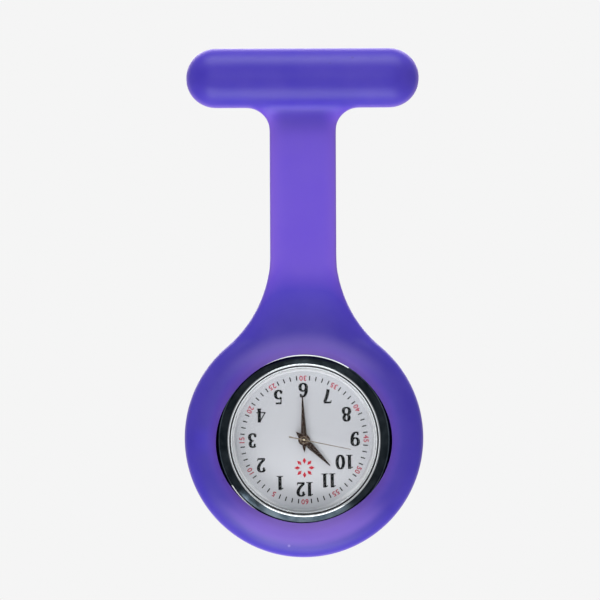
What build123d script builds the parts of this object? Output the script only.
from build123d import *
import math
import os

# Silicone fob watch, hanging from the brooch pin on the back of its T-bar.
# Millimetres. X to the right and Z up as seen from the front, dial facing -Y.
# The origin is the middle of the brooch needle's free length.
os.makedirs("parts", exist_ok=True)

# ---------------------------------------------------------------- driving dimensions
# Silicone holder
tbar_length = 39.4
tbar_radius = 4.95
tbar_flat = 2.2  # from the T-bar's axis back to its flat rear
strap_width = 11.3
strap_thickness = 2.2
strap_edge_round = 0.6
tbar_fillet = 4.0
tbar_side_fillet = 2.5
ring_radius = 20.2
ring_drop = 60.7  # T-bar axis to the ring's centre
flare_radius = 20.3
flare_thickness = 9.2  # where it runs out in the ring
flare_round = 3.4  # its corners there
flare_inset = 0.05  # keeps its end just under the ring's surface
flare_steps = 10
fillet_steps = 8
ramp_delay = 1.9  # from the top of the flare to where it starts to thicken
ramp_length = 12.0
flare_root = 3.0  # the flare's hidden end, past where its outline meets the ring
ring_rear_wall = 1.4
ring_lip_height = 8.0  # lip crest above the case back's face
ring_round = 3.2
ring_lip_fall = 0.5  # from the crest down to the lip's edge
push_out_radius = 10.0
holder_gap = 0.1  # holder to metal
corner_steps = 4  # flats in each rounded corner of the silicone
crown_pocket_gap = 0.35
crown_end_gap = 0.15

# Brooch
needle_gap = 2.0  # needle axis to the bar's face
needle_radius = 0.45
needle_free_length = 21.0
needle_taper = 4.0
needle_tip_radius = 0.14
needle_root_radius = 0.62  # at the eye, from where the neck tapers
needle_neck_radius = 0.52
needle_neck = 2.6
bar_length = 31.0
bar_width = 4.4
bar_thickness = 0.6
bar_peg_spacing = 12.0
bar_peg_radius = 1.1
rivet_radius = 0.38
rivet_head_radius = 0.68
rivet_head_height = 0.3
eye_radius = 0.95
eye_width = 1.2
ear_thickness = 0.4
catch_outer_radius = 1.7
catch_wall = 0.45
catch_length = 1.4
catch_slot = 1.5
catch_foot_width = 1.6
roller_end_gap = 0.15
roller_bore = 0.55
roller_slot = 0.9
roller_tab = 0.8
roller_tab_reach = 2.5
roller_tab_width = 1.0

# Watch head, heights counted forward from the case back's outer face
head_drop = 61.2  # T-bar axis to the head's axis
head_back_gap = 0.9  # needle axis forward to the case back's face
case_radius = 15.0
case_height = 8.0
bezel_step = 0.6  # from the case's side in to the bezel's slope
bezel_outer_radius = case_radius - bezel_step
bezel_slope_height = 0.85
case_wall = 2.85
case_bore_radius = case_radius - case_wall
crystal_ledge = 0.2  # from the bore out to the crystal's edge
crystal_radius = case_bore_radius + crystal_ledge
crystal_thickness = 1.45
crystal_seat = 6.5
crystal_gasket_width = 0.25
crystal_gasket_drop = 0.25
bezel_land_width = 0.3
bezel_land_radius = crystal_radius + crystal_gasket_width + bezel_land_width
small_chamfer = 0.15
case_shoulder_height = 6.6
back_margin = 1.0  # from the case's side in to the back's edge
back_radius = case_radius - back_margin
back_thickness = 0.6
back_ledge = 1.0  # from the back's edge in to its snap rim
back_rim_radius = back_radius - back_ledge
back_rim_thickness = 0.35
back_rim_height = 1.0
back_gasket_height = 0.35
back_gasket_width = 0.4
seat_gap = 0.05

# Crown and stem, on the side of the three o'clock mark
stem_height = 3.0
stem_radius = 0.45
crown_radius = 1.6
crown_length = 2.2
crown_bore_radius = 1.25
crown_bore_depth = 1.4
crown_flutes = 20
crown_flute_depth = 0.12
crown_gasket_place = 0.45  # in from the crown's mouth to the gasket's far face
crown_gasket_length = 0.35
crown_travel = 0.8
crown_stand_off = 0.2
tube_radius = 0.9
tube_stand_out = 1.5
tube_inner_step = 0.3  # from the case's bore out to the tube's inner end
running_gap = 0.07
stem_groove_radius = 0.25
stem_groove_width = 0.5
stem_inner_end = -3.35
setting_pinion_x = -4.6
setting_pinion_teeth = 8
setting_pinion_length = 0.6
pilot_radius = 0.28
pilot_length = 0.5
square_radius = 0.17
lever_pivot = (-7.3, -2.0)
lever_height = 2.93
lever_thickness = 0.14
lever_reach = 1.72
lever_width = 0.3
lever_boss_radius = 0.55
lever_post_radius = 0.25
lever_bed_size = (2.2, 3.0)
lever_bed_shift = 0.7

# Dial and hands; hand angles are clockwise from the twelve
dial_gap = 0.15  # dial to the case's bore
dial_radius = case_bore_radius - dial_gap
dial_height = 4.1
dial_thickness = 0.4
dial_hole_radius = 0.75
dial_foot_radius = 0.35
dial_foot_length = 0.6
dial_foot_place = 9.26
flange_width = 0.45
flange_inner_radius = dial_radius - flange_width
flange_top_width = 0.15
flange_top_radius = dial_radius - flange_top_width
hour_hand_height = 4.85
minute_hand_height = 5.3
second_hand_height = 5.72
hour_hand_thickness = 0.15
minute_hand_thickness = 0.12
second_hand_thickness = 0.08
hour_hand_angle = 315.0
minute_hand_angle = 178.0
second_hand_angle = 281.7
hour_hand_length = 6.0
minute_hand_length = 7.6
second_hand_length = 8.1
hand_tail = 2.0
second_hand_tail = 2.6
hour_hand_width = 1.3
minute_hand_width = 1.0
second_hand_width = 0.25
hour_boss_radius = 1.0
minute_boss_radius = 0.8
second_boss_radius = 0.5

# Quartz movement
movement_radius = 9.7
movement_half_width = 8.6
movement_rear = 0.95
plate_height = 2.7
plate_thickness = 0.6
movement_top = 4.05
rim_width = 0.6
spacer_gap = 0.1  # spacer ring to the case's bore
spacer_radius = case_bore_radius - spacer_gap
bridge_height = 1.1
bridge_thickness = 0.25
wheel_thickness = 0.15
arbor_radius = 0.1
stud_radius = 0.15
pivot_gap = 0.02
second_arbor_radius = 0.13
cannon_radius = 0.38
cannon_bore = 0.2
hour_pipe_radius = 0.6
hour_pipe_bore = 0.43

# Teeth and modules of the going train and the motion work
rotor_teeth = 6
intermediate_teeth = 36
intermediate_pinion_teeth = 8
second_teeth = 40
second_pinion_teeth = 6
third_teeth = 45
third_pinion_teeth = 6
centre_teeth = 48
cannon_teeth = 10
minute_wheel_teeth = 30
minute_pinion_teeth = 8
hour_teeth = 32
setting_teeth = 20
rotor_module = 0.08
second_module = 0.085
third_module = 0.08
motion_module = 0.1

# Heights of the wheels, rear to front
intermediate_level = 1.42
second_level = 1.7
third_level = 2.05
centre_level = 2.4
motion_level = 3.42
stud_length = 0.45
cannon_pinion_length = 0.2
minute_pinion_length = 0.3
hour_level = 3.65

# Motor, battery and circuit
magnet_radius = 0.6
magnet_height = 1.75
magnet_length = 0.5
rotor_pinion_drop = 0.03
rotor_pinion_length = 0.25
stator_hole_radius = 0.85
stator_height = 1.9
stator_thickness = 0.4
stator_width = 2.2
stator_half_length = 5.3
core_height = 1.5
core_width = 1.2
core_pad = 1.6
coil_place = (-0.6, -6.3)
coil_length = 7.2
coil_width = 2.4
coil_depth = 1.4
coil_round = 0.45
battery_radius = 3.4
battery_thickness = 2.15
battery_height = 1.0
battery_place = (4.37, 3.66)
battery_gap = 0.1
battery_wall = 0.45
battery_step_height = 0.2
battery_step_inset = 0.5
contact_height = 3.2
contact_thickness = 0.1
contact_pad_radius = 1.4
contact_width = 0.6
contact_leg_x = 0.1
contact_leg_thickness = 0.15
contact_shift = 0.9  # from the battery's centre to the contact's strip
contact_slot_size = (1.4, 1.1)
board_height = 1.0
board_thickness = 0.2
board_place = (-3.4, 6.1)
board_size = (7.4, 3.7)
resonator_radius = 0.6
resonator_length = 3.9
resonator_place = (-3.6, 6.5)
chip_place = (-3.4, 5.1)
chip_size = (2.0, 1.4)
chip_thickness = 0.5
clamp_screw_place = (-0.9, 5.6)
clamp_thickness = 0.11
clamp_pad_radius = 2.0
clamp_hole_radius = 1.1
clamp_end_radius = 0.9
bridge_screw_places = [(2.7, -1.3), (-3.3, 2.6)]
bridge_post_place = (-3.3, -1.4)
screw_head_radius = 0.6
screw_head_height = 0.18
screw_radius = 0.3

# ---------------------------------------------------------------- places worked out
tbar_y = -needle_gap - tbar_flat
ring_z = -ring_drop
head_z = -head_drop
back_y = -head_back_gap
front = Plane(origin=(0, 0, 0), x_dir=(1, 0, 0), z_dir=(0, -1, 0))
head_plane = Plane(origin=(0, back_y, head_z), x_dir=(1, 0, 0), z_dir=(0, -1, 0))
head_axis = Axis((0, back_y, head_z), (0, -1, 0))
head_section = Plane(origin=(0, back_y, head_z), x_dir=(1, 0, 0), z_dir=(0, 0, -1))
ring_axis = Axis((0, back_y, ring_z), (0, -1, 0))
ring_section = Plane(origin=(0, back_y, ring_z), x_dir=(1, 0, 0), z_dir=(0, 0, -1))
stem_y = back_y - stem_height


def level(height):
    """The plane across the head at a height above the case back's face."""
    return head_plane.offset(height)


def polar(distance, angle, start=(0.0, 0.0)):
    """The point at a distance and an angle, in degrees, from a start point."""
    turn = math.radians(angle)
    return (start[0] + distance * math.cos(turn), start[1] + distance * math.sin(turn))


def mesh_distance(first_teeth, second_teeth_count, module):
    """Centre distance of two meshed gears."""
    return (first_teeth + second_teeth_count) * module / 2


def mesh_phase(direction, driver_phase, driver_teeth, teeth):
    """Angle of a tooth on a gear that lies at a direction from its driver."""
    carried = (driver_phase - direction) * driver_teeth / teeth
    return direction + 180 - carried + 180 / teeth


def gear_outline(teeth, module, phase):
    """Closed outline of a wheel or pinion with straight-sided teeth."""
    pitch = teeth * module / 2
    root = pitch - 1.15 * module
    tip = pitch + 0.85 * module
    step = 360 / teeth
    corners = []
    for tooth in range(teeth):
        middle = phase + tooth * step
        corners.append(polar(root, middle - 0.5 * step))
        corners.append(polar(tip, middle - 0.12 * step))
        corners.append(polar(tip, middle + 0.12 * step))
    return corners


def add_gear(height, thickness, place, teeth, module, phase):
    """Adds a toothed disc to the part being built."""
    with BuildSketch(level(height)) as toothed:
        with Locations(place):
            Polygon(*gear_outline(teeth, module, phase), align=None)
    extrude(toothed.sketch, amount=thickness)


def add_disc(bottom, top, place, radius, mode=Mode.ADD):
    """Adds or cuts a round disc or post between two heights."""
    with BuildSketch(level(bottom)) as disc:
        with Locations(place):
            Circle(radius)
    extrude(disc.sketch, amount=top - bottom, mode=mode)


def rounded_corner(centre, radius, start_angle):
    """Points round a quarter circle, for the soft mouldings' rounded edges."""
    quarter = 90 / corner_steps
    return [polar(radius, start_angle + quarter * step, centre) for step in range(corner_steps + 1)]


def add_pin(bottom, top, place, radius, mode=Mode.ADD):
    """Adds a thin arbor or post between two heights, drawn with eight flats."""
    with BuildSketch(level(bottom)) as pin:
        with Locations(place):
            RegularPolygon(radius, 8)
    extrude(pin.sketch, amount=top - bottom, mode=mode)


def cut_pin_hole(bottom, top, place, radius):
    """Cuts a pivot or screw hole whose eight flats clear a round pin."""
    with BuildSketch(level(bottom)) as hole:
        with Locations(place):
            RegularPolygon(radius, 8, major_radius=False)
    extrude(hole.sketch, amount=top - bottom, mode=Mode.SUBTRACT)


def finish(builder, name):
    """Labels a finished piece and writes it."""
    builder.part.label = name
    export_step(builder.part, "parts/" + name + ".step")


# Pads at the ends of the motor's core, seen from the front and measured from the head's axis
pad_places = [
    (coil_place[0] - stator_half_length + core_pad / 2, coil_place[1]),
    (coil_place[0] + stator_half_length - core_pad / 2, coil_place[1]),
]

# Wheel centres, seen in the same way
centre_place = (0.0, 0.0)
intermediate_direction = 250.0
intermediate_place = polar(
    mesh_distance(intermediate_pinion_teeth, second_teeth, second_module), intermediate_direction
)
rotor_direction = 270.0
rotor_place = polar(
    mesh_distance(rotor_teeth, intermediate_teeth, rotor_module), rotor_direction, intermediate_place
)
third_direction = 115.0
third_distance = mesh_distance(second_pinion_teeth, third_teeth, third_module)
third_place = polar(third_distance, third_direction)
centre_module = 2 * third_distance / (third_pinion_teeth + centre_teeth)
minute_wheel_direction = 148.0
minute_wheel_distance = mesh_distance(cannon_teeth, minute_wheel_teeth, motion_module)
minute_wheel_place = polar(minute_wheel_distance, minute_wheel_direction)
hour_module = 2 * minute_wheel_distance / (minute_pinion_teeth + hour_teeth)
setting_direction = 190.0
setting_place = polar(
    mesh_distance(minute_wheel_teeth, setting_teeth, motion_module), setting_direction, minute_wheel_place
)

# Tooth angles, each wheel set into the one that drives it
second_phase = 0.0
intermediate_pinion_phase = mesh_phase(
    intermediate_direction, second_phase, second_teeth, intermediate_pinion_teeth
)
rotor_phase = mesh_phase(rotor_direction, intermediate_pinion_phase, intermediate_teeth, rotor_teeth)
third_phase = mesh_phase(third_direction, second_phase, second_pinion_teeth, third_teeth)
centre_phase = mesh_phase(third_direction + 180, third_phase, third_pinion_teeth, centre_teeth)
minute_wheel_phase = mesh_phase(minute_wheel_direction, centre_phase, cannon_teeth, minute_wheel_teeth)
hour_phase = mesh_phase(
    minute_wheel_direction + 180, minute_wheel_phase, minute_pinion_teeth, hour_teeth
)
setting_phase = mesh_phase(setting_direction, minute_wheel_phase, minute_wheel_teeth, setting_teeth)

# ---------------------------------------------------------------- silicone holder
half_strap = strap_width / 2
flare_x = half_strap + flare_radius
flare_z = ring_z + math.sqrt((ring_radius + flare_radius) ** 2 - flare_x**2)
touch_share = ring_radius / (ring_radius + flare_radius)
flare_touch = (flare_x * touch_share, ring_z + (flare_z - ring_z) * touch_share)
side_fillet_drop = math.sqrt(
    (tbar_radius + tbar_side_fillet) ** 2 - (strap_thickness / 2 + tbar_side_fillet) ** 2
)
fillet_share = tbar_radius / (tbar_radius + tbar_side_fillet)
fillet_touch = ((strap_thickness / 2 + tbar_side_fillet) * fillet_share, -side_fillet_drop * fillet_share)
fillet_end = -tbar_radius - tbar_fillet
ring_rear = -ring_rear_wall - holder_gap
pocket_radius = case_radius + holder_gap
pocket_shoulder = case_shoulder_height + holder_gap
lip_radius = bezel_outer_radius + seat_gap
lip_inner_height = case_height - bezel_slope_height + holder_gap
crown_pocket_end = case_radius + crown_stand_off + crown_length + crown_travel + crown_end_gap


def smooth_step(share):
    """Eases from 0 to 1 as the share does."""
    share = min(max(share, 0), 1)
    return share * share * (3 - 2 * share)


def hollow_curve(radius, reach, drop, inset):
    """How far a hollow round outline stands out from its centre line, a little inside the outline."""
    return reach - math.sqrt((radius + inset) ** 2 - drop**2)


def strap_half_width(z, inset):
    """Half the strap's width at a height, measured a little inside its outline."""
    if z > -tbar_radius:
        return half_strap + tbar_fillet - inset
    if z > fillet_end:
        return hollow_curve(tbar_fillet, half_strap + tbar_fillet, z - fillet_end, inset)
    if z > flare_z:
        return half_strap - inset
    return hollow_curve(flare_radius, flare_x, z - flare_z, inset)


def strap_half_depth(z):
    """Half the strap's thickness at a height, thicker under the T-bar and towards the ring."""
    if z > -side_fillet_drop:
        rise = min(z, fillet_touch[1]) + side_fillet_drop
        return hollow_curve(tbar_side_fillet, strap_thickness / 2 + tbar_side_fillet, rise, 0)
    growth = smooth_step((flare_z - ramp_delay - z) / ramp_length)
    return strap_thickness / 2 + (flare_thickness - strap_thickness) / 2 * growth


def strap_corners(z):
    """The rounded cross-section of the strap at a height."""
    growth = smooth_step((flare_z - ramp_delay - z) / ramp_length)
    half_depth = strap_half_depth(z)
    radius = strap_edge_round + (flare_round - strap_edge_round) * growth
    quarter = []
    for across, up in rounded_corner((0, half_depth - radius), radius, 0):
        quarter.append((strap_half_width(z, radius - across + flare_inset * growth), up))
    half = quarter + [(-x, y) for x, y in reversed(quarter)]
    return [(x, tbar_y - y) for x, y in half] + [(-x, tbar_y + y) for x, y in half]


with BuildPart() as holder:
    # The flat strap with its flare, drawn through cross-sections from the T-bar to the ring.
    heights = [fillet_touch[1] / 2]
    heights += [
        fillet_touch[1] + (fillet_end - fillet_touch[1]) * step / fillet_steps
        for step in range(fillet_steps + 1)
    ]
    heights += [flare_z + (flare_touch[1] - flare_z) * step / flare_steps for step in range(flare_steps + 1)]
    for z in heights:
        with BuildSketch(Plane.XY.offset(z)):
            Polygon(*strap_corners(z), align=None)
    with BuildSketch(Plane.XY.offset(flare_touch[1] - flare_root)):
        Polygon(*[(x * 0.9, y) for x, y in strap_corners(flare_touch[1])], align=None)
    loft(ruled=True)

    # The ring round the watch, a rounded band that slopes in to its lip.
    with BuildSketch(ring_section):
        with BuildLine():
            Polyline(
                (0, ring_rear),
                *rounded_corner((ring_radius - ring_round, ring_rear + ring_round), ring_round, -90),
                *rounded_corner((ring_radius - ring_round, ring_lip_height - ring_round), ring_round, 0),
                (lip_radius - 0.5, ring_lip_height - ring_lip_fall),
                (0, ring_lip_height - ring_lip_fall),
                close=True,
            )
        make_face()
    revolve(axis=ring_axis)

    # The T-bar, a capsule with a flat rear.
    with BuildSketch(Plane.XY):
        with BuildLine():
            Polyline(
                *rounded_corner((tbar_radius - tbar_length / 2, tbar_y), tbar_radius, 180),
                *rounded_corner((tbar_length / 2 - tbar_radius, tbar_y), tbar_radius, 270),
                close=True,
            )
        make_face()
    revolve(axis=Axis((0, tbar_y, 0), (1, 0, 0)))
    with BuildSketch(front.offset(needle_gap)):
        Rectangle(2 * tbar_length, 4 * tbar_radius)
    extrude(amount=-2 * tbar_radius, mode=Mode.SUBTRACT)

    # The pocket for the watch head, its lip, and the round hole that pushes it out.
    with BuildSketch(head_section):
        Polygon(
            (0, -holder_gap),
            (pocket_radius, -holder_gap),
            (pocket_radius, pocket_shoulder),
            (lip_radius, lip_inner_height),
            (lip_radius, ring_lip_height + 2),
            (0, ring_lip_height + 2),
            align=None,
        )
    revolve(axis=head_axis, mode=Mode.SUBTRACT)
    add_disc(ring_rear - 1, 0, centre_place, push_out_radius, Mode.SUBTRACT)

    # The blind pocket for the crown.
    with BuildSketch(Plane.YZ.offset(-crown_pocket_end)):
        with Locations((stem_y, head_z)):
            Circle(crown_radius + crown_pocket_gap)
    extrude(amount=crown_pocket_end - case_radius + 1, mode=Mode.SUBTRACT)

    # The bed of the brooch bar, with the two pegs that fill its holes.
    with BuildSketch(front.offset(needle_gap)):
        Rectangle(bar_length + 2 * seat_gap, bar_width + 2 * seat_gap)
        with GridLocations(bar_peg_spacing, 0, 2, 1):
            Circle(bar_peg_radius - seat_gap, mode=Mode.SUBTRACT)
    extrude(amount=bar_thickness + seat_gap, mode=Mode.SUBTRACT)
finish(holder, "silicone_holder")

# ---------------------------------------------------------------- brooch
neck_start = -needle_free_length / 2 - needle_neck
eye_x = neck_start - eye_radius * 0.7
tip_x = needle_free_length / 2 + needle_taper
catch_x = needle_free_length / 2 + 1.6
catch_inner_radius = catch_outer_radius - catch_wall
roller_radius = catch_inner_radius - running_gap
tab_start = roller_bore + 0.2
eye_bore = rivet_radius + running_gap / 2
ear_inner = eye_width / 2 + running_gap
ear_outer = ear_inner + ear_thickness

with BuildPart() as brooch_bar:
    with BuildSketch(front.offset(needle_gap)):
        RectangleRounded(bar_length, bar_width, 0.6)
        with GridLocations(bar_peg_spacing, 0, 2, 1):
            Circle(bar_peg_radius, mode=Mode.SUBTRACT)
    extrude(amount=bar_thickness)
    # Two ears for the hinge rivet.
    for side in (-1, 1):
        with BuildSketch(Plane.XY.offset(side * (ear_inner + ear_thickness / 2))):
            with Locations((eye_x, 0)):
                Circle(eye_radius)
            with Locations((eye_x, -needle_gap / 2)):
                Rectangle(2 * eye_radius, needle_gap)
            with Locations((eye_x, 0)):
                Circle(rivet_radius, mode=Mode.SUBTRACT)
        extrude(amount=ear_thickness / 2, both=True)
    # The open C of the catch, on its foot.
    with BuildSketch(Plane.YZ.offset(catch_x)):
        with Locations((-needle_gap / 2 - catch_inner_radius / 2, 0)):
            Rectangle(needle_gap - catch_inner_radius, catch_foot_width)
        Circle(catch_outer_radius)
        Circle(catch_inner_radius, mode=Mode.SUBTRACT)
        with Locations((catch_outer_radius, 0)):
            Rectangle(2 * catch_outer_radius, catch_slot, mode=Mode.SUBTRACT)
    extrude(amount=catch_length)
finish(brooch_bar, "brooch_bar")

with BuildPart() as brooch_rivet:
    with BuildSketch(Plane.XY.offset(-ear_outer)):
        with Locations((eye_x, 0)):
            Circle(rivet_radius - 0.01)
    extrude(amount=2 * ear_outer)
    for side in (-1, 1):
        with BuildSketch(Plane.XY.offset(side * ear_outer)):
            with Locations((eye_x, 0)):
                Circle(rivet_head_radius)
        extrude(amount=side * rivet_head_height)
finish(brooch_rivet, "brooch_rivet")

with BuildPart() as brooch_needle:
    with BuildSketch(Plane.XY):
        with BuildLine():
            Polyline(
                (eye_x + eye_radius * 0.6, 0),
                (eye_x + eye_radius * 0.6, needle_root_radius),
                (-needle_free_length / 2, needle_neck_radius),
                (-needle_free_length / 2, needle_radius),
                (needle_free_length / 2, needle_radius),
                (tip_x, needle_tip_radius),
                (tip_x, 0),
                close=True,
            )
        make_face()
    revolve(axis=Axis.X)
    with BuildSketch(Plane.XY.offset(-eye_width / 2)):
        with Locations((eye_x, 0)):
            Circle(eye_radius)
    extrude(amount=eye_width)
    with BuildSketch(Plane.XY.offset(-eye_width)):
        with Locations((eye_x, 0)):
            Circle(eye_bore)
    extrude(amount=2 * eye_width, mode=Mode.SUBTRACT)
finish(brooch_needle, "brooch_needle")

with BuildPart() as brooch_catch:
    # A slotted roller that turns in the C and closes it.
    with BuildSketch(Plane.YZ.offset(catch_x - roller_end_gap)):
        Circle(roller_radius)
        Circle(roller_bore, mode=Mode.SUBTRACT)
        with Locations((roller_radius, 0)):
            Rectangle(2 * roller_radius, roller_slot, mode=Mode.SUBTRACT)
    extrude(amount=catch_length + 2 * roller_end_gap + roller_tab)
    # Its thumb tab, beyond the C.
    with BuildSketch(Plane.YZ.offset(catch_x + catch_length + roller_end_gap)):
        with Locations((-roller_bore / 2, (tab_start + roller_tab_reach) / 2)):
            Rectangle(roller_tab_width, roller_tab_reach - tab_start)
    extrude(amount=roller_tab)
finish(brooch_catch, "brooch_catch")

# ---------------------------------------------------------------- watch case
gasket_outer = crystal_radius + crystal_gasket_width
slope_bottom = case_height - bezel_slope_height
back_seat = back_thickness + seat_gap
rim_groove_top = back_thickness + back_rim_height + back_gasket_height + 2 * seat_gap

with BuildPart() as watch_case:
    with BuildSketch(head_section):
        Polygon(
            (case_radius - 0.7, back_seat),
            (case_radius, back_seat + 0.7),
            (case_radius, case_shoulder_height),
            (bezel_outer_radius, slope_bottom),
            (bezel_land_radius, case_height),
            (gasket_outer + 0.02, case_height),
            (gasket_outer + 0.02, crystal_seat),
            (case_bore_radius, crystal_seat),
            (case_bore_radius, rim_groove_top),
            (back_rim_radius + seat_gap, rim_groove_top),
            (back_rim_radius + seat_gap, back_seat),
            align=None,
        )
    revolve(axis=head_axis)
    with BuildSketch(Plane.YZ.offset(-case_radius - 1)):
        with Locations((stem_y, head_z)):
            Circle(tube_radius + 0.01)
    extrude(amount=case_radius - case_bore_radius + 2, mode=Mode.SUBTRACT)
finish(watch_case, "watch_case")

with BuildPart() as crown_tube:
    with BuildSketch(Plane.YZ.offset(-case_radius - tube_stand_out)):
        with Locations((stem_y, head_z)):
            Circle(tube_radius)
            Circle(stem_radius + running_gap, mode=Mode.SUBTRACT)
    extrude(amount=tube_stand_out + case_radius - case_bore_radius - tube_inner_step)
finish(crown_tube, "crown_tube")

with BuildPart() as crystal:
    add_disc(crystal_seat + 0.01, crystal_seat + crystal_thickness, centre_place, crystal_radius)
    chamfer(crystal.faces().sort_by(Axis.Y)[0].edges(), length=small_chamfer)
finish(crystal, "crystal")

with BuildPart() as crystal_gasket:
    with BuildSketch(level(crystal_seat + 0.01)):
        Circle(gasket_outer)
        Circle(crystal_radius + 0.01, mode=Mode.SUBTRACT)
    extrude(amount=crystal_thickness - crystal_gasket_drop)
finish(crystal_gasket, "crystal_gasket")

with BuildPart() as case_back:
    with BuildSketch(head_section):
        Polygon(
            (0, 0),
            (back_radius - 0.4, 0),
            (back_radius, 0.25),
            (back_radius, back_thickness),
            (back_rim_radius, back_thickness),
            (back_rim_radius, back_thickness + back_rim_height),
            (back_rim_radius - back_rim_thickness, back_thickness + back_rim_height),
            (back_rim_radius - back_rim_thickness, back_thickness),
            (0, back_thickness),
            align=None,
        )
    revolve(axis=head_axis)
finish(case_back, "case_back")

with BuildPart() as back_gasket:
    with BuildSketch(level(rim_groove_top - back_gasket_height - seat_gap / 2)):
        Circle(back_rim_radius)
        Circle(back_rim_radius - back_gasket_width, mode=Mode.SUBTRACT)
    extrude(amount=back_gasket_height)
finish(back_gasket, "case_back_gasket")

# ---------------------------------------------------------------- dial and hands
dial_top = dial_height + dial_thickness

with BuildPart() as dial_flange:
    with BuildSketch(head_section):
        Polygon(
            (case_bore_radius - seat_gap, dial_top + 0.03),
            (case_bore_radius - seat_gap, crystal_seat - 0.03),
            (flange_top_radius, crystal_seat - 0.03),
            (flange_inner_radius, dial_top + 0.03),
            align=None,
        )
    revolve(axis=head_axis)
finish(dial_flange, "dial_flange")

foot_places = [polar(dial_foot_place, 135), polar(dial_foot_place, 315)]
with BuildPart() as dial:
    with BuildSketch(level(dial_height)):
        Circle(dial_radius)
        Circle(dial_hole_radius, mode=Mode.SUBTRACT)
    extrude(amount=dial_thickness)
    for place in foot_places:
        add_pin(dial_height - dial_foot_length, dial_height, place, dial_foot_radius)
finish(dial, "dial")


def add_hand(height, thickness, angle, length, tail, width, boss_radius, bore):
    """A lance-shaped hand with a short pointed tail and a round boss."""
    turn = math.radians(270 - angle)
    along = Plane(origin=level(height).origin, x_dir=(math.cos(turn), 0, math.sin(turn)), z_dir=(0, -1, 0))
    with BuildSketch(along) as blade:
        Polygon(
            (length, width * 0.07),
            (boss_radius * 1.3, width / 2),
            (0, width * 0.36),
            (-tail * 0.6, width * 0.36),
            (-tail, 0),
            (-tail * 0.6, -width * 0.36),
            (0, -width * 0.36),
            (boss_radius * 1.3, -width / 2),
            (length, -width * 0.07),
            align=None,
        )
        Circle(boss_radius)
        Circle(bore, mode=Mode.SUBTRACT)
    extrude(blade.sketch, amount=thickness)


with BuildPart() as hour_hand:
    add_hand(
        hour_hand_height, hour_hand_thickness, hour_hand_angle, hour_hand_length, hand_tail,
        hour_hand_width, hour_boss_radius, hour_pipe_radius,
    )
finish(hour_hand, "hour_hand")

with BuildPart() as minute_hand:
    add_hand(
        minute_hand_height, minute_hand_thickness, minute_hand_angle, minute_hand_length, hand_tail,
        minute_hand_width, minute_boss_radius, cannon_radius,
    )
finish(minute_hand, "minute_hand")

with BuildPart() as second_hand:
    add_hand(
        second_hand_height, second_hand_thickness, second_hand_angle, second_hand_length,
        second_hand_tail, second_hand_width, second_boss_radius, second_arbor_radius,
    )
finish(second_hand, "second_hand")

# ---------------------------------------------------------------- movement plates
battery_bottom = battery_height + battery_thickness
plate_top = plate_height + plate_thickness
stem_channel = stem_radius + 0.1
lever_pocket_floor = lever_height - 0.08


def movement_outline(inset):
    """The movement's round outline with its two flats, drawn in by an inset."""
    with BuildSketch() as outline:
        Circle(movement_radius - inset)
        Rectangle(4 * movement_radius, 2 * (movement_half_width - inset), mode=Mode.INTERSECT)
    return outline.sketch


with BuildPart() as movement_ring:
    with BuildSketch(level(movement_rear)):
        Circle(spacer_radius)
        add(movement_outline(-seat_gap), mode=Mode.SUBTRACT)
    extrude(amount=movement_top - movement_rear)
    with BuildSketch(Plane.YZ.offset(-spacer_radius - 1)):
        with Locations((stem_y, head_z)):
            Rectangle(2 * tube_radius, 2 * tube_radius)
    extrude(amount=spacer_radius - movement_radius + 2, mode=Mode.SUBTRACT)
finish(movement_ring, "movement_ring")

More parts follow.
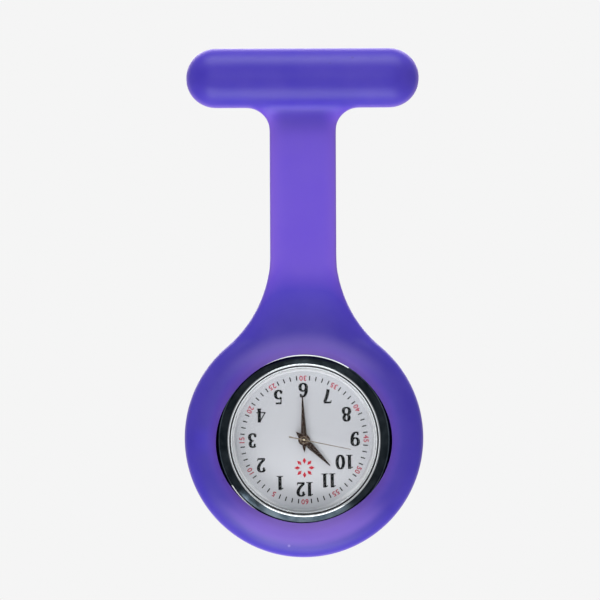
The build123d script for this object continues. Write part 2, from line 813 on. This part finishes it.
with BuildPart() as main_plate:
    # The plate, its rim, and the raised floor over the battery.
    with BuildSketch(level(movement_rear)):
        add(movement_outline(0))
    extrude(amount=movement_top - movement_rear)
    with BuildSketch(level(movement_rear)):
        add(movement_outline(rim_width))
    extrude(amount=plate_height - movement_rear, mode=Mode.SUBTRACT)
    with BuildSketch(level(plate_top)):
        add(movement_outline(rim_width))
        for place in foot_places:
            with Locations(place):
                Circle(2 * dial_foot_radius, mode=Mode.SUBTRACT)
    extrude(amount=movement_top - plate_top, mode=Mode.SUBTRACT)
    add_disc(plate_top, movement_top - seat_gap, battery_place, battery_radius + battery_wall)
    add_disc(
        plate_height - 0.1, contact_height + contact_thickness + 0.05, battery_place,
        battery_radius + battery_gap, Mode.SUBTRACT,
    )
    # Posts under the screws and the studs of the motion work.
    for place in bridge_screw_places + [bridge_post_place]:
        add_pin(bridge_height + bridge_thickness + 0.01, plate_height, place, screw_head_radius)
    for place in pad_places:
        add_pin(stator_height + stator_thickness + 0.01, plate_height, place, screw_head_radius + 0.1)
    add_pin(board_height + board_thickness + 0.01, plate_height, clamp_screw_place, screw_head_radius)
    for place in (minute_wheel_place, setting_place):
        add_pin(plate_top, motion_level + stud_length, place, stud_radius)
    # Holes for the screws, the pivots, the cannon and the dial feet.
    for place in bridge_screw_places + [clamp_screw_place]:
        cut_pin_hole(movement_rear, plate_height, place, screw_radius + pivot_gap)
    for place in pad_places:
        cut_pin_hole(movement_rear, plate_top - 0.1, place, screw_radius + pivot_gap)
    for place in (rotor_place, intermediate_place, third_place):
        cut_pin_hole(plate_height - 0.1, plate_top - 0.2, place, arbor_radius + pivot_gap)
    add_disc(plate_height - 0.1, plate_top + 0.1, centre_place, cannon_radius + 0.05, Mode.SUBTRACT)
    for place in foot_places:
        cut_pin_hole(dial_height - dial_foot_length - 0.1, dial_height, place, dial_foot_radius + seat_gap)
    # The channel of the stem, the bed of the setting lever and the slot of the battery contact.
    with BuildSketch(Plane.YZ.offset(-movement_radius - 1)):
        with Locations((stem_y, head_z)):
            Rectangle(2 * stem_channel, 2 * stem_channel)
    extrude(amount=movement_radius - 2.1, mode=Mode.SUBTRACT)
    with BuildSketch(level(lever_pocket_floor)):
        with Locations((lever_pivot[0], lever_pivot[1] + lever_bed_shift)):
            Rectangle(*lever_bed_size)
    extrude(amount=plate_top - lever_pocket_floor + 0.1, mode=Mode.SUBTRACT)
    with BuildSketch(level(board_height)):
        with Locations((contact_leg_x + contact_width / 2 - seat_gap, battery_place[1] + contact_shift)):
            Rectangle(*contact_slot_size)
    extrude(amount=contact_height + contact_thickness + 0.05 - board_height, mode=Mode.SUBTRACT)
    add_disc(lever_pocket_floor, plate_top, lever_pivot, lever_post_radius)
finish(main_plate, "main_plate")

with BuildPart() as train_bridge:
    with BuildSketch(level(bridge_height)):
        for place in bridge_screw_places + [bridge_post_place, rotor_place, third_place]:
            with Locations(place):
                Circle(screw_head_radius + 0.2)
        make_hull()
    extrude(amount=bridge_thickness)
    bridge_top = bridge_height + bridge_thickness
    for place in bridge_screw_places:
        cut_pin_hole(bridge_height, bridge_top, place, screw_radius + pivot_gap)
    for place in (rotor_place, intermediate_place, third_place):
        cut_pin_hole(bridge_height, bridge_top, place, arbor_radius + pivot_gap)
    cut_pin_hole(bridge_height, bridge_top, centre_place, second_arbor_radius + pivot_gap)
finish(train_bridge, "train_bridge")

# ---------------------------------------------------------------- going train
pivot_bottom = bridge_height + 0.02
pivot_top = plate_top - 0.25

with BuildPart() as rotor:
    add_pin(pivot_bottom, pivot_top, rotor_place, arbor_radius)
    add_gear(
        intermediate_level - rotor_pinion_drop, rotor_pinion_length, rotor_place, rotor_teeth,
        rotor_module, rotor_phase,
    )
    add_disc(magnet_height, magnet_height + magnet_length, rotor_place, magnet_radius)
finish(rotor, "motor_rotor")

with BuildPart() as intermediate_wheel:
    add_pin(pivot_bottom, pivot_top, intermediate_place, arbor_radius)
    add_gear(
        intermediate_level, wheel_thickness, intermediate_place, intermediate_teeth, rotor_module,
        intermediate_pinion_phase,
    )
    add_gear(
        intermediate_level + wheel_thickness, second_level - intermediate_level, intermediate_place,
        intermediate_pinion_teeth, second_module, intermediate_pinion_phase,
    )
finish(intermediate_wheel, "intermediate_wheel")

second_arbor_top = second_hand_height + second_hand_thickness + 0.04
with BuildPart() as second_wheel:
    add_pin(pivot_bottom, second_arbor_top, centre_place, second_arbor_radius)
    add_gear(second_level, wheel_thickness, centre_place, second_teeth, second_module, second_phase)
    add_gear(
        second_level + wheel_thickness, third_level - second_level + 0.05, centre_place,
        second_pinion_teeth, third_module, second_phase,
    )
finish(second_wheel, "second_wheel")

with BuildPart() as third_wheel:
    add_pin(pivot_bottom, pivot_top, third_place, arbor_radius)
    add_gear(third_level, wheel_thickness, third_place, third_teeth, third_module, third_phase)
    add_gear(
        third_level + wheel_thickness, centre_level - third_level, third_place,
        third_pinion_teeth, centre_module, third_phase,
    )
finish(third_wheel, "third_wheel")

cannon_top = minute_hand_height + minute_hand_thickness + 0.03
with BuildPart() as centre_wheel:
    add_gear(centre_level, wheel_thickness, centre_place, centre_teeth, centre_module, centre_phase)
    add_disc(centre_level, cannon_top, centre_place, cannon_radius)
    add_gear(
        motion_level - seat_gap, cannon_pinion_length, centre_place, cannon_teeth, motion_module,
        centre_phase,
    )
    add_disc(centre_level - 0.1, cannon_top + 0.1, centre_place, cannon_bore, Mode.SUBTRACT)
finish(centre_wheel, "centre_wheel")

# ---------------------------------------------------------------- motion work
with BuildPart() as minute_wheel:
    add_gear(
        motion_level, wheel_thickness, minute_wheel_place, minute_wheel_teeth, motion_module,
        minute_wheel_phase,
    )
    add_gear(
        motion_level + wheel_thickness, minute_pinion_length, minute_wheel_place,
        minute_pinion_teeth, hour_module, minute_wheel_phase,
    )
    cut_pin_hole(motion_level - 0.1, motion_level + 1, minute_wheel_place, stud_radius + pivot_gap)
finish(minute_wheel, "minute_wheel")

hour_pipe_top = hour_hand_height + hour_hand_thickness + 0.03
with BuildPart() as hour_wheel:
    add_gear(hour_level, wheel_thickness, centre_place, hour_teeth, hour_module, hour_phase)
    add_disc(hour_level, hour_pipe_top, centre_place, hour_pipe_radius)
    add_disc(hour_level - 0.1, hour_pipe_top + 0.1, centre_place, hour_pipe_bore, Mode.SUBTRACT)
finish(hour_wheel, "hour_wheel")

with BuildPart() as setting_wheel:
    add_gear(motion_level, wheel_thickness, setting_place, setting_teeth, motion_module, setting_phase)
    cut_pin_hole(motion_level - 0.1, motion_level + 0.3, setting_place, stud_radius + pivot_gap)
finish(setting_wheel, "setting_wheel")

# ---------------------------------------------------------------- stepping motor
with BuildPart() as stator:
    with BuildSketch(level(stator_height)):
        with Locations((coil_place[0], rotor_place[1])):
            Rectangle(2 * stator_half_length, stator_width)
        for place in pad_places:
            with Locations((place[0], (rotor_place[1] + place[1]) / 2 - 0.2)):
                Rectangle(core_pad, rotor_place[1] - place[1] + 1.2)
        with Locations(rotor_place):
            Circle(stator_hole_radius, mode=Mode.SUBTRACT)
    extrude(amount=stator_thickness)
    for place in pad_places:
        cut_pin_hole(stator_height, stator_height + stator_thickness, place, screw_radius + pivot_gap)
finish(stator, "motor_stator")

with BuildPart() as coil_core:
    with BuildSketch(level(core_height)):
        with Locations(coil_place):
            Rectangle(2 * stator_half_length, core_width)
        for place in pad_places:
            with Locations(place):
                Rectangle(core_pad, core_pad)
    extrude(amount=stator_height - core_height - 0.01)
    for place in pad_places:
        cut_pin_hole(core_height, stator_height, place, screw_radius + pivot_gap)
finish(coil_core, "coil_core")

with BuildPart() as coil_winding:
    core_middle = (core_height + stator_height) / 2
    with BuildSketch(Plane.YZ.offset(coil_place[0] - coil_length / 2)):
        with Locations((back_y - core_middle, head_z + coil_place[1])):
            RectangleRounded(coil_depth, coil_width, coil_round)
            Rectangle(stator_height - core_height + 0.02, core_width + 0.02, mode=Mode.SUBTRACT)
    extrude(amount=coil_length)
finish(coil_winding, "coil_winding")

# ---------------------------------------------------------------- circuit and battery
with BuildPart() as circuit_board:
    with BuildSketch(level(board_height)):
        with Locations(board_place):
            Rectangle(*board_size)
        add(movement_outline(rim_width + seat_gap), mode=Mode.INTERSECT)
    extrude(amount=board_thickness)
    cut_pin_hole(board_height, board_height + board_thickness, clamp_screw_place, screw_radius + pivot_gap)
finish(circuit_board, "circuit_board")

with BuildPart() as resonator:
    can_height = board_height + board_thickness + resonator_radius + 0.01
    with BuildSketch(Plane.YZ.offset(resonator_place[0] - resonator_length / 2)):
        with Locations((back_y - can_height, head_z + resonator_place[1])):
            Circle(resonator_radius)
    extrude(amount=resonator_length)
finish(resonator, "quartz_resonator")

with BuildPart() as timing_chip:
    with BuildSketch(level(board_height + board_thickness + 0.01)):
        with Locations(chip_place):
            Rectangle(*chip_size)
    extrude(amount=chip_thickness)
finish(timing_chip, "timing_chip")

with BuildPart() as battery:
    add_disc(battery_height, battery_bottom - battery_step_height, battery_place, battery_radius)
    add_disc(
        battery_bottom - battery_step_height, battery_bottom, battery_place,
        battery_radius - battery_step_inset,
    )
    chamfer(battery.faces().sort_by(Axis.Y)[-1].edges(), length=small_chamfer)
finish(battery, "battery")

with BuildPart() as battery_contact:
    with BuildSketch(level(contact_height)):
        with Locations(battery_place):
            Circle(contact_pad_radius)
        with Locations((battery_place[0] / 2, battery_place[1] + contact_shift)):
            Rectangle(battery_place[0], contact_width)
    extrude(amount=contact_thickness)
    with BuildSketch(level(board_height + board_thickness + 0.02)):
        with Locations((contact_leg_x, battery_place[1] + contact_shift)):
            Rectangle(contact_leg_thickness, contact_width)
    extrude(amount=contact_height - board_height - board_thickness)
finish(battery_contact, "battery_contact")

with BuildPart() as battery_clamp:
    with BuildSketch(level(board_height - clamp_thickness - 0.01)):
        with Locations(battery_place):
            Circle(clamp_pad_radius)
        with Locations(clamp_screw_place):
            Circle(clamp_end_radius)
        make_hull()
        with Locations(battery_place):
            Circle(clamp_hole_radius, mode=Mode.SUBTRACT)
    extrude(amount=clamp_thickness)
    cut_pin_hole(board_height - 0.2, board_height, clamp_screw_place, screw_radius + pivot_gap)
finish(battery_clamp, "battery_clamp")

with BuildPart() as movement_screws:
    seats = [(place, bridge_height, plate_height - 0.3) for place in bridge_screw_places]
    seats += [(place, core_height, plate_height + 0.1) for place in pad_places]
    seats.append((clamp_screw_place, board_height - clamp_thickness - 0.01, plate_height - 0.3))
    for place, seat, end in seats:
        add_disc(seat - screw_head_height, seat - 0.01, place, screw_head_radius)
        add_pin(seat - 0.02, end, place, screw_radius)
finish(movement_screws, "movement_screws")

# ---------------------------------------------------------------- crown and setting
crown_inner = -case_radius - crown_stand_off
crown_end = crown_inner - crown_length
crown_wall = crown_inner - crown_bore_depth
groove_x = lever_pivot[0] + crown_travel / 2
stem_section = Plane(origin=(0, stem_y, head_z), x_dir=(1, 0, 0), z_dir=(0, 0, 1))
stem_axis = Axis((0, stem_y, head_z), (1, 0, 0))

with BuildPart() as winding_stem:
    with BuildSketch(stem_section):
        Polygon(
            (crown_wall - pilot_length, 0),
            (crown_wall - pilot_length, pilot_radius),
            (crown_wall, pilot_radius),
            (crown_wall, stem_radius),
            (groove_x - stem_groove_width / 2, stem_radius),
            (groove_x - stem_groove_width / 2, stem_groove_radius),
            (groove_x + stem_groove_width / 2, stem_groove_radius),
            (groove_x + stem_groove_width / 2, stem_radius),
            (setting_pinion_x - pilot_length, stem_radius),
            (setting_pinion_x - pilot_length, square_radius),
            (stem_inner_end, square_radius),
            (stem_inner_end, 0),
            align=None,
        )
    revolve(axis=stem_axis)
finish(winding_stem, "winding_stem")

with BuildPart() as setting_pinion:
    with BuildSketch(Plane.YZ.offset(setting_pinion_x)):
        with Locations((stem_y, head_z)):
            Polygon(*gear_outline(setting_pinion_teeth, second_module, 0), align=None)
            Circle(square_radius + 0.01, mode=Mode.SUBTRACT)
    extrude(amount=setting_pinion_length)
finish(setting_pinion, "setting_pinion")


def flute_outline():
    """The crown's outline, a coin edge of shallow grooves."""
    step = 360 / crown_flutes
    corners = []
    for flute in range(crown_flutes):
        corners.append(polar(crown_radius, flute * step))
        corners.append(polar(crown_radius, (flute + 0.55) * step))
        corners.append(polar(crown_radius - crown_flute_depth, (flute + 0.78) * step))
    return corners


with BuildPart() as crown:
    with BuildSketch(Plane.YZ.offset(crown_end)):
        with Locations((stem_y, head_z)):
            Polygon(*flute_outline(), align=None)
    extrude(amount=crown_length)
    with BuildSketch(Plane.YZ.offset(crown_inner)):
        with Locations((stem_y, head_z)):
            Circle(crown_bore_radius)
    extrude(amount=-crown_bore_depth, mode=Mode.SUBTRACT)
    with BuildSketch(Plane.YZ.offset(crown_inner)):
        with Locations((stem_y, head_z)):
            Circle(pilot_radius + 0.01)
    extrude(amount=-crown_bore_depth - pilot_length - pivot_gap, mode=Mode.SUBTRACT)
finish(crown, "crown")

with BuildPart() as crown_gasket:
    with BuildSketch(Plane.YZ.offset(crown_inner - crown_gasket_place)):
        with Locations((stem_y, head_z)):
            Circle(crown_bore_radius - 0.02)
            Circle(tube_radius + 0.02, mode=Mode.SUBTRACT)
    extrude(amount=crown_gasket_length)
finish(crown_gasket, "crown_gasket")

lever_rest_angle = 90 - math.degrees(math.asin(crown_travel / 2 / lever_reach))
with BuildPart() as setting_lever:
    with BuildSketch(level(lever_height)):
        with Locations(lever_pivot):
            Circle(lever_boss_radius)
            with Locations(polar(lever_reach / 2, lever_rest_angle)):
                Rectangle(lever_reach, lever_width, rotation=lever_rest_angle)
            Circle(lever_post_radius + pivot_gap, mode=Mode.SUBTRACT)
    extrude(amount=lever_thickness)
finish(setting_lever, "setting_lever")
